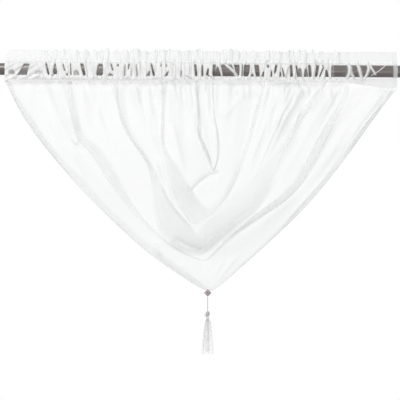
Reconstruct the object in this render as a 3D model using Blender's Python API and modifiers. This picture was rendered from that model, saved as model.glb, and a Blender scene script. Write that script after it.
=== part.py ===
"""A sheer swag curtain gathered on a round pole, with a tassel at its point.

Metres, +Z up. The origin is the middle of the pole's axis. +X runs along the pole and -Y faces the room.
"""

import math

import bmesh
import bpy
import numpy as np

# Pole
POLE_RADIUS = 0.014
POLE_LENGTH = 1.000
POLE_EDGE = 0.0012
POLE_SIDES = 36

# The clear space between pieces that touch
SEAT = 0.0003

# Cloth: the sewn header
CLOTH = 0.0007
LAYER_GAP = 0.0024
SEAM_DROP = 0.0125
FRILL = 0.028
FRILL_PEAK = 0.005
PUCKER = 0.0075
PUCKER_PITCH = 0.037
STITCH_SWING = 0.0015

# Cloth: the hanging panel
HUNG_WIDTH = 0.912
PANEL_DROP = 0.492
BELLY = 0.016
PUCKER_REACH = 0.095
FOLD_LEAN = 40.0
FOLD_TURN = 0.24

# How finely the sheet is drawn
ROWS_PER_FOLD = 7
PANEL_STEPS = 12

# Tassel
PATCH_SIDE = 0.0125
PATCH_DEPTH = 0.006
PATCH_EDGE = 0.0018
THREAD_RADIUS = 0.0008
THREAD_LENGTH = 0.033
BEAD_RADIUS = 0.0048
BEAD_HEIGHT = 0.0125
BINDING_RADIUS = 0.0038
BINDING_LENGTH = 0.006
BINDING_TURNS = 3
SKIRT_LENGTH = 0.083
SKIRT_TOP_RADIUS = 0.0066
SKIRT_END_RADIUS = 0.0148
SKIRT_LOCKS = 11

# Each fold runs from the seam on the left, down to the middle of the swag, and up to the seam on the right.
# Its points are (share of half the hung width, share of the drop). The crests are how far, in metres,
# the fold stands out at the seam and at the middle, and the valleys are the cloth just after it.
FOLDS = [
    {
        "name": "centre",
        "left": [(0.029, 0.0), (0.029, 0.11), (0.035, 0.23), (0.05, 0.37)],
        "right": [(0.029, 0.0), (0.029, 0.11), (0.035, 0.23), (0.05, 0.37)],
        "crest": (0.0, 0.0),
        "valley": (0.0, 0.002),
    },
    {
        "name": "heart",
        "left": [(-0.053, 0.0), (-0.037, 0.157), (-0.011, 0.277), (0.026, 0.370), (0.057, 0.441)],
        "right": [(0.116, 0.0), (0.106, 0.157), (0.097, 0.275), (0.081, 0.370), (0.057, 0.441)],
        "crest": (0.004, 0.011),
        "valley": (0.0, 0.0),
    },
    {
        "name": "inner",
        "left": [(-0.191, 0.0), (-0.184, 0.230), (-0.143, 0.372), (-0.050, 0.494), (0.033, 0.608)],
        "right": [(0.314, 0.0), (0.259, 0.171), (0.219, 0.321), (0.154, 0.492), (0.033, 0.608)],
        "crest": (0.006, 0.018),
        "valley": (0.0, 0.0),
    },
    {
        "name": "middle",
        "left": [(-0.375, 0.0), (-0.360, 0.140), (-0.260, 0.285), (-0.170, 0.445), (-0.070, 0.590), (0.015, 0.668)],
        "right": [(0.470, 0.0), (0.402, 0.160), (0.358, 0.322), (0.262, 0.475), (0.128, 0.585), (0.015, 0.668)],
        "crest": (0.005, 0.009),
        "valley": (0.0, 0.018),
    },
    {
        "name": "main",
        "left": [(-0.555, 0.0), (-0.483, 0.161), (-0.358, 0.279), (-0.246, 0.400), (-0.132, 0.597), (-0.002, 0.764)],
        "right": [(0.621, 0.0), (0.511, 0.160), (0.439, 0.311), (0.333, 0.510), (0.182, 0.667), (-0.002, 0.764)],
        "crest": (0.006, 0.030),
        "valley": (0.0, 0.0),
    },
    {
        "name": "low",
        "left": [(-0.687, 0.0), (-0.656, 0.193), (-0.562, 0.364), (-0.408, 0.539), (-0.228, 0.703), (0.020, 0.854)],
        "right": [(0.744, 0.0), (0.654, 0.197), (0.553, 0.390), (0.426, 0.571), (0.233, 0.734), (0.020, 0.854)],
        "crest": (0.006, 0.007),
        "valley": (0.0, 0.0),
    },
    {
        "name": "outer",
        "left": [(-0.840, 0.0), (-0.768, 0.161), (-0.612, 0.360), (-0.417, 0.571), (-0.202, 0.760), (0.031, 0.925)],
        "right": [(0.871, 0.0), (0.792, 0.153), (0.638, 0.366), (0.463, 0.582), (0.259, 0.762), (0.031, 0.925)],
        "crest": (0.005, 0.003),
        "valley": (0.001, 0.0),
    },
    {
        "name": "hem",
        "left": [(-1.0, 0.0), (-0.895, 0.185), (-0.695, 0.421), (-0.504, 0.610), (-0.283, 0.799), (-0.072, 0.939), (0.044, 1.0)],
        "right": [(1.0, 0.0), (0.912, 0.128), (0.730, 0.366), (0.518, 0.603), (0.300, 0.795), (0.132, 0.937), (0.044, 1.0)],
        "crest": (0.0, 0.0),
        "valley": (0.0, 0.0),
    },
]

# The pocket is drawn as six sides around the pole, which meet above it at the stitch line.
POCKET_ANGLE = math.radians(30)
POCKET_RADIUS = POLE_RADIUS + SEAT + CLOTH / 2
STITCH_Z = POCKET_RADIUS / math.cos(POCKET_ANGLE) + SEAT
SEAM_Z = -(POCKET_RADIUS + SEAM_DROP)
POINT_Z = SEAM_Z - PANEL_DROP


def clear_scene():
    for old in list(bpy.data.objects):
        bpy.data.objects.remove(old, do_unlink=True)


def new_material(name, colour, roughness, metallic=0.0, alpha=1.0):
    made = bpy.data.materials.new(name)
    made.use_nodes = True
    shader = made.node_tree.nodes["Principled BSDF"]
    shader.inputs["Base Color"].default_value = (*colour, 1.0)
    shader.inputs["Roughness"].default_value = roughness
    shader.inputs["Metallic"].default_value = metallic
    shader.inputs["Alpha"].default_value = alpha
    made.diffuse_color = (*colour, alpha)
    return made


def add_object(name, mesh, collection, material):
    made = bpy.data.objects.new(name, mesh)
    collection.objects.link(made)
    made.data.materials.append(material)
    return made


def ease(value, start, end):
    """A smooth step from 0 at start to 1 at end."""
    share = np.clip((value - start) / (end - start), 0.0, 1.0)
    return share * share * (3.0 - 2.0 * share)


def catmull(a, b, c, d, t):
    """A point between b and c on the smooth curve through a, b, c and d."""
    straight = (c - a) * t
    bend = (2 * a - 5 * b + 4 * c - d) * t * t
    twist = (3 * b - a - 3 * c + d) * t * t * t
    return 0.5 * (2 * b + straight + bend + twist)


def even_run(points, count):
    """Count points, evenly spaced, along the smooth curve through a few points."""
    known = np.array(points, dtype=float)
    known = np.vstack([2 * known[0] - known[1], known, 2 * known[-1] - known[-2]])
    fine = [
        catmull(known[k], known[k + 1], known[k + 2], known[k + 3], t)
        for k in range(len(known) - 3)
        for t in np.linspace(0.0, 1.0, 16, endpoint=False)
    ]
    fine = np.array(fine + [known[-2]])
    walked = np.concatenate([[0.0], np.cumsum(np.linalg.norm(np.diff(fine, axis=0), axis=1))])
    wanted = np.linspace(0.0, walked[-1], count)
    return np.column_stack([np.interp(wanted, walked, fine[:, axis]) for axis in (0, 1)])


def fold_runs(side):
    """Every fold's path on one side, in metres of X and Z, from the seam to the middle of the swag."""
    size = np.array([HUNG_WIDTH / 2, -PANEL_DROP])
    runs = [even_run(np.array(fold[side]) * size, PANEL_STEPS + 1) for fold in FOLDS]
    return np.array(runs) + np.array([0.0, SEAM_Z])


def between_folds(runs, place):
    """The point at a place such as 2.4, which lies between folds 2 and 3."""
    last = len(runs) - 1
    place = np.clip(place, 0.0, float(last))
    low = np.minimum(place.astype(int), last - 1)
    share = (place - low)[..., None]
    padded = np.concatenate([[2 * runs[0] - runs[1]], runs, [2 * runs[-1] - runs[-2]]])
    step = np.arange(runs.shape[1])[None, :]
    return catmull(padded[low, step], padded[low + 1, step], padded[low + 2, step], padded[low + 3, step], share)


def monotone_curve(knots, values, wanted):
    """A curve through the values that never swings past them."""
    rise = np.diff(values, axis=0) / np.diff(knots)[:, None]
    slope = np.zeros_like(values)
    same = rise[:-1] * rise[1:] > 0
    total = np.where(same, rise[:-1] + rise[1:], 1.0)
    slope[1:-1] = np.where(same, 2 * rise[:-1] * rise[1:] / total, 0.0)
    low = np.clip(np.searchsorted(knots, wanted, side="right") - 1, 0, len(knots) - 2)
    width = (knots[low + 1] - knots[low])[:, None]
    t = (wanted - knots[low])[:, None] / width
    start, end = values[low], values[low + 1]
    return (
        start * (1 + 2 * t) * (1 - t) ** 2
        + slope[low] * width * t * (1 - t) ** 2
        + end * t * t * (3 - 2 * t)
        + slope[low + 1] * width * t * t * (t - 1)
    )


def pucker(along):
    """The uneven ripple of the gathers, from -1 to 1, along the seam."""
    turn = 2 * math.pi * along / PUCKER_PITCH
    ripple = 0.62 * np.cos(turn) + 0.38 * np.cos(0.61 * turn + 1.3 + 0.8 * np.sin(0.17 * turn))
    flat_end = ease(np.abs(along), HUNG_WIDTH / 2, 0.78 * HUNG_WIDTH / 2)
    return ripple * flat_end


def panel_grid(side, sheet):
    """The hanging panel on one side: points for each place across the sheet and each step down."""
    step = np.linspace(0.0, 1.0, PANEL_STEPS + 1)[None, :]
    grown = ease(step, 0.12, 0.85)
    lean = FOLD_LEAN * ease(step, 0.15, 0.80)
    knots, base, height = [], [], []
    for number, fold in enumerate(FOLDS):
        crest = fold["crest"][0] + (fold["crest"][1] - fold["crest"][0]) * grown
        valley = fold["valley"][0] + (fold["valley"][1] - fold["valley"][0]) * grown
        knots.append(number)
        base.append(number - lean * crest)
        height.append(crest)
        if number < len(FOLDS) - 1:
            turn = 0.5 + (FOLD_TURN - 0.5) * ease(step, 0.15, 0.80) * (crest > valley)
            knots.append(number + 0.5)
            base.append(base[-1] + turn)
            height.append(valley)
    knots = np.array(knots, dtype=float)
    base = monotone_curve(knots, np.concatenate(base), sheet)
    height = monotone_curve(knots, np.concatenate(height), sheet)
    place = base + lean * height
    points = between_folds(fold_runs(side), place)
    fallen = (SEAM_Z - points[..., 1]) / PANEL_DROP
    bulge = BELLY * np.square(4 * fallen * (1 - fallen))
    fade = np.exp(-np.square((SEAM_Z - points[..., 1]) / PUCKER_REACH))
    ripple = PUCKER * pucker(points[:, :1, 0]) * fade
    depth = -LAYER_GAP / 2 - height - bulge * ease(step, 0.0, 0.3) + ripple
    return np.stack([points[..., 0], depth, points[..., 1]], axis=-1)


def header_grid(seam):
    """The folded header above one side's seam, from the back layer's edge over the frill to the front seam."""
    along = seam[:, 0]
    ripple = pucker(along)
    half = LAYER_GAP / 2
    shoulder = POCKET_RADIUS * math.tan(POCKET_ANGLE)
    peak = FRILL_PEAK * np.cos(2 * math.pi * along / (0.83 * PUCKER_PITCH) + 0.6)
    profile = [
        (half, SEAM_Z, PUCKER, 0.0, 0.0),
        (POCKET_RADIUS, -shoulder, 0.0, PUCKER / 2, 0.0),
        (POCKET_RADIUS, shoulder, 0.0, PUCKER / 2, 0.0),
        (half, STITCH_Z, STITCH_SWING, 0.0, 0.0),
        (half, STITCH_Z + FRILL, PUCKER, 0.0, 1.0),
        (-half, STITCH_Z + FRILL, PUCKER, 0.0, 1.0),
        (-half, STITCH_Z, STITCH_SWING, 0.0, 0.0),
        (-POCKET_RADIUS, shoulder, 0.0, PUCKER / 2, 0.0),
        (-POCKET_RADIUS, -shoulder, 0.0, PUCKER / 2, 0.0),
    ]
    rows = []
    for depth, height, swing, stand, ragged in profile:
        outward = math.copysign(1.0, depth)
        y = depth + swing * ripple + outward * stand * (1 + outward * ripple)
        rows.append(np.column_stack([along, y, height + ragged * peak]))
    return np.stack(rows, axis=1)


def sheet_mesh(name):
    """The whole folded sheet as one open surface, its two sides joined at the middle of the swag."""
    sheet = np.linspace(0.0, len(FOLDS) - 1, (len(FOLDS) - 1) * ROWS_PER_FOLD + 1)
    grids = []
    for side in ("left", "right"):
        panel = panel_grid(side, sheet)
        grids.append(np.concatenate([header_grid(panel[:, 0]), panel], axis=1))
    left, right = grids
    shared = (left[:, -1] + right[:, -1]) / 2
    left[:, -1] = shared
    right[:, -1] = shared
    rows, steps = left.shape[:2]
    bm = bmesh.new()
    left_points = [[None] * steps for _ in range(rows)]
    right_points = [[None] * steps for _ in range(rows)]
    for row in range(rows):
        for step in range(steps):
            if row == 0 and step == steps - 1:
                continue
            left_points[row][step] = bm.verts.new(left[row, step])
            if row == 0 or step == steps - 1:
                right_points[row][step] = left_points[row][step]
            else:
                right_points[row][step] = bm.verts.new(right[row, step])
    for points, flip in ((left_points, False), (right_points, True)):
        for row in range(rows - 1):
            for step in range(steps - 1):
                corners = [
                    points[row][step],
                    points[row][step + 1],
                    points[row + 1][step + 1],
                    points[row + 1][step],
                ]
                corners = [corner for corner in corners if corner is not None]
                bm.faces.new(corners[::-1] if flip else corners)
    mesh = bpy.data.meshes.new(name)
    bm.to_mesh(mesh)
    bm.free()
    mesh.shade_smooth()
    return mesh


def make_sheet(collection):
    material = new_material("white_voile", (0.86, 0.88, 0.87), 0.8, alpha=0.55)
    cloth = add_object("voile_panel", sheet_mesh("voile_panel"), collection, material)
    thick = cloth.modifiers.new("thickness", "SOLIDIFY")
    thick.thickness = CLOTH
    thick.offset = 0.0
    return cloth


def make_pole(collection):
    material = new_material("dark_brown", (0.055, 0.045, 0.040), 0.35)
    bpy.ops.mesh.primitive_cylinder_add(
        vertices=POLE_SIDES,
        radius=POLE_RADIUS,
        depth=POLE_LENGTH,
        rotation=(0.0, math.pi / 2, 0.0),
    )
    pole = bpy.context.object
    pole.name = "curtain_rod"
    pole.data.name = "curtain_rod"
    for old in list(pole.users_collection):
        old.objects.unlink(pole)
    collection.objects.link(pole)
    pole.data.materials.append(material)
    rounded = pole.modifiers.new("rounded ends", "BEVEL")
    rounded.width = POLE_EDGE
    rounded.segments = 2
    rounded.limit_method = "ANGLE"
    pole.data.shade_smooth()
    pole.data.set_sharp_from_angle(angle=math.radians(40))
    return pole


def turned_solid(name, profile, sides, place, collection, material):
    """A solid turned about a vertical line from its (radius, height) profile, top to bottom."""
    bm = bmesh.new()
    points = [bm.verts.new((radius, 0.0, height)) for radius, height in profile]
    for start, end in zip(points, points[1:]):
        bm.edges.new((start, end))
    mesh = bpy.data.meshes.new(name)
    bm.to_mesh(mesh)
    bm.free()
    solid = add_object(name, mesh, collection, material)
    solid.location = place
    spin = solid.modifiers.new("turned", "SCREW")
    spin.steps = sides
    spin.render_steps = sides
    spin.use_merge_vertices = True
    spin.merge_threshold = 0.00001
    spin.use_smooth_shade = True
    return solid


def oval_profile(radius, height, steps):
    """Half of an upright oval from top to bottom, closed on the axis."""
    angles = np.linspace(0.0, math.pi, steps + 1)
    inner = [(radius * math.sin(angle), height / 2 * math.cos(angle)) for angle in angles[1:-1]]
    return [(0.0, height / 2)] + inner + [(0.0, -height / 2)]


def make_patch(collection, point):
    """The small diamond sewn on the point, in front of the cloth."""
    material = new_material("patch_grey", (0.54, 0.49, 0.50), 0.75)
    depth = point[1] - CLOTH / 2 - SEAT - PATCH_DEPTH / 2
    bpy.ops.mesh.primitive_cube_add(size=1.0)
    patch = bpy.context.object
    patch.name = "point_patch"
    patch.data.name = "point_patch"
    for old in list(patch.users_collection):
        old.objects.unlink(patch)
    collection.objects.link(patch)
    patch.data.materials.append(material)
    for corner in patch.data.vertices:
        corner.co.x *= PATCH_SIDE
        corner.co.y *= PATCH_DEPTH
        corner.co.z *= PATCH_SIDE
    patch.rotation_euler = (0.0, math.radians(45), 0.0)
    patch.location = (point[0], depth, point[2])
    soft = patch.modifiers.new("soft edges", "BEVEL")
    soft.width = PATCH_EDGE
    soft.segments = 3
    patch.data.shade_smooth()
    return patch


def make_tassel(collection, point):
    """The thread, bead, binding and skirt, one under the other."""
    white = new_material("tassel_white", (0.80, 0.79, 0.83), 0.6)
    grey = new_material("bead_grey", (0.56, 0.56, 0.58), 0.5)
    x = point[0]
    y = point[1] - CLOTH / 2 - SEAT - PATCH_DEPTH / 2
    thread_top = point[2] - PATCH_SIDE / math.sqrt(2) + PATCH_EDGE * (math.sqrt(2) - 1) - SEAT
    thread_end = thread_top - THREAD_LENGTH

    route = bpy.data.curves.new("tassel_cord", "CURVE")
    route.dimensions = "3D"
    route.bevel_depth = THREAD_RADIUS
    route.bevel_resolution = 2
    route.use_fill_caps = True
    line = route.splines.new("POLY")
    count = 12
    line.points.add(count - 1)
    for number, spot in enumerate(line.points):
        spot.co = (x, y, thread_top - THREAD_LENGTH * number / (count - 1), 1.0)
    thread = bpy.data.objects.new("tassel_cord", route)
    thread.data.materials.append(white)
    collection.objects.link(thread)

    bead_z = thread_end - SEAT - BEAD_HEIGHT / 2
    oval = oval_profile(BEAD_RADIUS, BEAD_HEIGHT, 8)
    turned_solid("tassel_bead", oval, 16, (x, y, bead_z), collection, grey)

    binding_top = bead_z - BEAD_HEIGHT / 2 - SEAT
    wound = [(0.0, 0.0)]
    ridge = BINDING_LENGTH / BINDING_TURNS
    for number in range(BINDING_TURNS):
        wound.append((BINDING_RADIUS - 0.25 * ridge, -(number + 0.08) * ridge))
        wound.append((BINDING_RADIUS, -(number + 0.5) * ridge))
        wound.append((BINDING_RADIUS - 0.25 * ridge, -(number + 0.92) * ridge))
    wound.append((0.0, -BINDING_LENGTH))
    turned_solid("tassel_binding", wound, 16, (x, y, binding_top), collection, white)

    make_skirt(collection, (x, y, binding_top - BINDING_LENGTH - SEAT), white)


def make_skirt(collection, place, material):
    """The hanging strands, drawn as one bundle of rounded locks with a ragged end."""
    around = 4 * SKIRT_LOCKS
    levels = [0.0, 0.06, 0.18, 0.40, 0.70, 0.97]
    bm = bmesh.new()
    rings = []
    for level in levels:
        radius = SKIRT_TOP_RADIUS + (SKIRT_END_RADIUS - SKIRT_TOP_RADIUS) * level**0.8
        radius *= 0.82 if level == 0.0 else 1.0
        ring = []
        for number in range(around):
            angle = 2 * math.pi * number / around
            lock = 0.5 + 0.5 * math.cos(SKIRT_LOCKS * angle)
            ragged = 0.03 * level * math.sin(5 * angle + 0.7)
            reach = radius * (1.0 - 0.16 * level * (1.0 - lock))
            height = -SKIRT_LENGTH * (level + ragged)
            ring.append(bm.verts.new((reach * math.cos(angle), reach * math.sin(angle), height)))
        rings.append(ring)
    for upper, lower in zip(rings, rings[1:]):
        for number in range(around):
            after = (number + 1) % around
            bm.faces.new((upper[number], lower[number], lower[after], upper[after]))
    for ring, height, top in ((rings[0], 0.0, True), (rings[-1], -0.9 * SKIRT_LENGTH, False)):
        middle = bm.verts.new((0.0, 0.0, height))
        for number in range(around):
            after = (number + 1) % around
            trio = (ring[number], ring[after], middle)
            bm.faces.new(trio if top else trio[::-1])
    mesh = bpy.data.meshes.new("tassel_skirt")
    bm.to_mesh(mesh)
    bm.free()
    mesh.shade_smooth()
    skirt = add_object("tassel_skirt", mesh, collection, material)
    skirt.location = place
    return skirt


def main():
    clear_scene()
    collection = bpy.data.collections.new("swag_curtain")
    bpy.context.scene.collection.children.link(collection)
    make_pole(collection)
    cloth = make_sheet(collection)
    corners = [corner.co for corner in cloth.data.vertices]
    lowest = min(corners, key=lambda corner: corner.z)
    behind_patch = [corner.y for corner in corners if corner.z < POINT_Z + PATCH_SIDE]
    point = (lowest.x, min(behind_patch), POINT_Z)
    make_patch(collection, point)
    make_tassel(collection, point)


main()
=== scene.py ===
"""The looks of a sheer swag curtain gathered on a dark pole, with a tassel at its point."""

import math
import random

import bmesh
import bpy
import numpy as np
from mathutils import Matrix, Vector


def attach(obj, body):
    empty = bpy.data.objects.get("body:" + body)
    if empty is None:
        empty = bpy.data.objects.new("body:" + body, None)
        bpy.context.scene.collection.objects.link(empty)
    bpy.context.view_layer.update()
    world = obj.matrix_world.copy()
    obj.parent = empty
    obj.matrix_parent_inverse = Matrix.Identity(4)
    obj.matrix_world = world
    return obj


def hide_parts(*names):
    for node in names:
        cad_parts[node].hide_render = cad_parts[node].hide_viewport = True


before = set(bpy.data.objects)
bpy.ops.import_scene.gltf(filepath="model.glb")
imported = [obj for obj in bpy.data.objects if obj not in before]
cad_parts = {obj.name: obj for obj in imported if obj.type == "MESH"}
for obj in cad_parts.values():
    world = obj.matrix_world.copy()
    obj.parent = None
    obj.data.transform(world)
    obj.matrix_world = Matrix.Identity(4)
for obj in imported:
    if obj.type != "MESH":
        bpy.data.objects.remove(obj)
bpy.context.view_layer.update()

# The camera's view of the photograph, 400 pixels each way
PIXEL = 0.00233
PHOTO_SIDE = 400
PHOTO_CENTRE = (200.5, 70.25)
PHOTO_ROLL = math.radians(0.36)
CAMERA_DISTANCE = 3.4

# Sizes shared with the solids
POLE_RADIUS = 0.014
SEAT = 0.0003
CLOTH = 0.0007
LAYER_GAP = 0.0024
SEAM_DROP = 0.0125
FRILL = 0.028
HUNG_WIDTH = 0.912
PANEL_DROP = 0.492
BELLY = 0.016
POLE_LENGTH = 1.0
POLE_EDGE = 0.0012
POLE_SIDES = 96
POCKET_ANGLE = math.radians(30)
POCKET_RADIUS = POLE_RADIUS + SEAT + CLOTH / 2
STITCH_Z = POCKET_RADIUS / math.cos(POCKET_ANGLE) + SEAT
SEAM_Z = -(POCKET_RADIUS + SEAM_DROP)
FLOOR_Z = -1.35

# The patch and the tassel under the point, in metres
POINT_X = 0.0182
POINT_Y = -0.00488
PATCH_Z = -0.51820
PATCH_HALF = 0.0090
PATCH_DEPTH = 0.006
CORD_TOP = -0.52754
CORD_LENGTH = 0.033
CORD_DIAMETER = 0.0016
CORD_TURNS = 11
BEAD_RADIUS = 0.0046
BEAD_HEIGHT = 0.0125
BEAD_TURNS = 15
BEAD_RIDGE = 0.00030
BEAD_TILT = math.radians(11)
YARN_SIDES = 40
BINDING_TOP = -0.57364
BINDING_RADIUS = 0.0037
BINDING_LENGTH = 0.006
BINDING_TURNS = 6
BINDING_RIDGE = 0.00045
SKIRT_TOP = -0.57994
SKIRT_LENGTH = 0.083
SKIRT_TOP_RADIUS = 0.0068
SKIRT_END_RADIUS = 0.0156
SKIRT_STRANDS = 100
SKIRT_LOCKS = 11
STRAND_RADIUS = 0.00034
STRAND_LEVELS = 15

# The cloth runs outwards from the middle of the swag over these lines, which were measured on the
# photograph in its pixels. Each goes from the seam down to the middle, on the left and on the right. Along
# a front line the cloth comes towards the viewer and turns under, and along the back line after it, it
# turns outwards again. Span is how much of the sheet's rows lie between a line and the next one, and depth
# is how far the line stands out in mm at the seam, a third of the way down and at the middle. Melt names
# the edge of the overlap, outer or inner, that fades from sight because the cloth is rolled and loose
# there, and how much it does so at the seam, a third and two thirds of the way down and at the middle.
# Thin is the same for the whole part that is turned under.
LINES = [
    {
        "name": "centre",
        "left": [(206, 82), (206.5, 105), (207.5, 130), (210, 150)],
        "right": [(206, 82), (206.5, 105), (207.5, 130), (210, 150)],
        "depth": (2, 3, 4),
        "span": 0.7,
    },
    {
        "name": "heart_front",
        "left": [(193, 82), (195.5, 102), (197, 120), (197, 135), (200.5, 146), (206, 158), (212, 171)],
        "right": [(213, 82), (213.5, 104), (214.5, 118), (217, 132), (218, 146), (217, 158), (213, 171)],
        "depth": (3, 6, 11),
        "span": 0.35,
        "thin": (0.92, 0.85, 0.6, 0.3),
        "melt_left": ("outer", (0.9, 0.7, 0.0, 0.0)),
        "melt_right": ("outer", (0.9, 0.9, 0.75, 0.0)),
    },
    {
        "name": "heart_back",
        "left": [
            (196, 82), (198.5, 102), (200.5, 120), (200.5, 135), (204.5, 146), (209.5, 157), (213, 167),
        ],
        "right": [(211, 82), (212, 104), (213, 118), (215, 132), (216, 146), (215.5, 158), (214, 167)],
        "depth": (1, 3, 5),
        "span": 1.2,
    },
    {
        "name": "inner_front",
        "left": [
            (161, 82), (160.5, 110), (160.5, 135), (162, 150), (166, 168), (171, 188), (179, 207),
            (191, 225),
        ],
        "right": [
            (265, 82), (260.5, 99), (255.5, 118), (250, 138), (244, 156), (238, 172), (231, 187),
            (221, 203), (208, 216), (191, 225),
        ],
        "depth": (4, 8, 15),
        "span": 0.5,
        "thin": (0.85, 0.85, 0.75, 0.5),
        "melt_left": ("outer", (0.8, 0.8, 0.9, 0.6)),
        "melt_right": ("inner", (0.75, 0.8, 0.9, 0.6)),
    },
    {
        "name": "inner_back",
        "left": [
            (167, 82), (165, 105), (164, 125), (164.5, 142), (168, 154), (176, 166), (184, 179),
            (191, 190), (199, 202), (206.5, 209.5),
        ],
        "right": [
            (262, 82), (257.5, 100), (252.5, 116), (247.5, 134), (241.5, 152), (235, 168), (228, 184),
            (220, 198), (206.5, 209.5),
        ],
        "depth": (1, 4, 7),
        "span": 1.9,
    },
    {
        "name": "main_front",
        "left": [
            (114, 82), (116, 104), (121, 123), (129, 139), (138, 151), (146, 164), (150, 180),
            (152, 200), (155, 220), (163, 238), (180, 248.5), (200, 251.5),
        ],
        "right": [
            (326, 82), (318, 93), (309, 108), (299, 122), (291, 138), (284, 150), (279, 160), (274, 171),
            (269, 182), (262, 194), (250, 208), (236, 219), (222, 230), (209, 241), (200, 251.5),
        ],
        "depth": (3, 8, 19),
        "span": 0.6,
        "thin": (0.9, 0.9, 0.9, 0.6),
        "melt_left": ("outer", (0.95, 0.95, 0.95, 0.35)),
        "melt_right": ("inner", (0.7, 0.7, 0.95, 0.5)),
    },
    {
        "name": "main_back",
        "left": [
            (117, 82), (119, 104), (124, 122), (132, 138), (141, 150), (149.5, 162), (156.5, 174),
            (162.5, 187), (169.5, 201), (180, 215), (190, 226), (196, 236.5),
        ],
        "right": [
            (323, 82), (314, 93), (304, 107), (294, 121), (286, 136), (279, 147), (271, 158), (262, 168),
            (250, 180), (236, 192), (222, 205), (210, 217), (201, 228), (196, 236.5),
        ],
        "depth": (1, 5, 9),
        "span": 1.2,
    },
    {
        "name": "low_front",
        "left": [
            (66, 82), (69, 105), (73, 125), (77, 140), (88, 151), (98, 165), (108, 181), (120, 198),
            (133, 214), (148, 229), (165, 243), (185, 254.5), (204, 262.5),
        ],
        "right": [
            (349, 82), (346, 96), (341, 108), (335, 120), (329, 132), (322, 146), (315, 160), (308, 172),
            (300, 184), (290, 195), (277, 206), (262, 216), (246, 227), (228, 241), (204, 262.5),
        ],
        "depth": (4, 7, 5),
        "span": 0.4,
        "thin": (0.8, 0.9, 0.85, 0.6),
        "melt_left": ("outer", (0.7, 0.8, 0.97, 0.3)),
        "melt_right": ("inner", (0.7, 0.85, 0.85, 0.3)),
    },
    {
        "name": "low_back",
        "left": [
            (71, 82), (75, 105), (80, 125), (86, 138), (99, 148), (109, 161), (117, 176), (127, 194),
            (138, 211), (151, 227), (167, 241.5), (186, 253.5), (204, 261.5),
        ],
        "right": [
            (345, 82), (341, 96), (335, 108), (327, 120), (320, 132), (312, 146), (305, 160), (298, 172),
            (291, 183), (281, 193), (269, 203), (255, 213), (243, 224), (227, 238), (204, 261.5),
        ],
        "depth": (1, 4, 8),
        "span": 1.0,
    },
    {
        "name": "outer_front",
        "left": [
            (6.5, 82), (13, 98), (22.5, 114), (33, 130), (45.5, 147), (60, 164.5), (73.5, 178.5),
            (87.5, 193), (103.5, 210.5), (119.5, 226), (138, 243), (154.5, 255.5), (177.5, 272),
            (196.5, 284.5), (208.5, 291.5),
        ],
        "right": [
            (394, 84), (383.5, 99.5), (369.5, 119), (356.5, 137.5), (343, 157), (329, 176), (315.5, 192),
            (301.5, 207), (285, 225.5), (269, 241.5), (251, 257.5), (233, 272.5), (218.5, 284.5),
            (208.5, 291.5),
        ],
        "depth": (3, 5, 6),
        "span": 0.45,
        "thin": (0.9, 0.92, 0.92, 0.85),
        "melt_left": ("inner", (0.3, 0.3, 0.4, 0.5)),
        "melt_right": ("inner", (0.9, 0.95, 0.95, 0.9)),
    },
    {
        "name": "outer_back",
        "left": [
            (10, 82), (17, 97), (27.5, 112.5), (39, 129), (51, 145.5), (65, 162), (79, 175.5),
            (93, 190.5), (109, 208), (125.5, 223.5), (143.5, 240), (160, 252.5), (182, 269), (200, 282),
            (208.5, 289.5),
        ],
        "right": [
            (392, 84), (381.5, 99.5), (367.5, 118.5), (354, 137), (340.5, 155.5), (326.5, 174),
            (312.5, 190), (298.5, 205.5), (282.5, 223.5), (266.5, 239.5), (249, 255.5), (231.5, 271),
            (217.5, 283.5), (208.5, 289.5),
        ],
        "depth": (1, 2, 4),
        "span": 0.5,
    },
    {
        "name": "hem",
        "left": [
            (4.8, 82), (25.4, 121.0), (64.5, 170.7), (101.9, 210.6), (145.1, 250.6), (186.4, 280.1),
            (209.1, 293.0),
        ],
        "right": [
            (396.2, 82), (379.0, 108.8), (343.4, 159.1), (301.9, 209.2), (259.2, 249.7), (226.3, 279.7),
            (209.1, 293.0),
        ],
        "depth": (1, 1, 1),
        "span": 0.0,
    },
]

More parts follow.
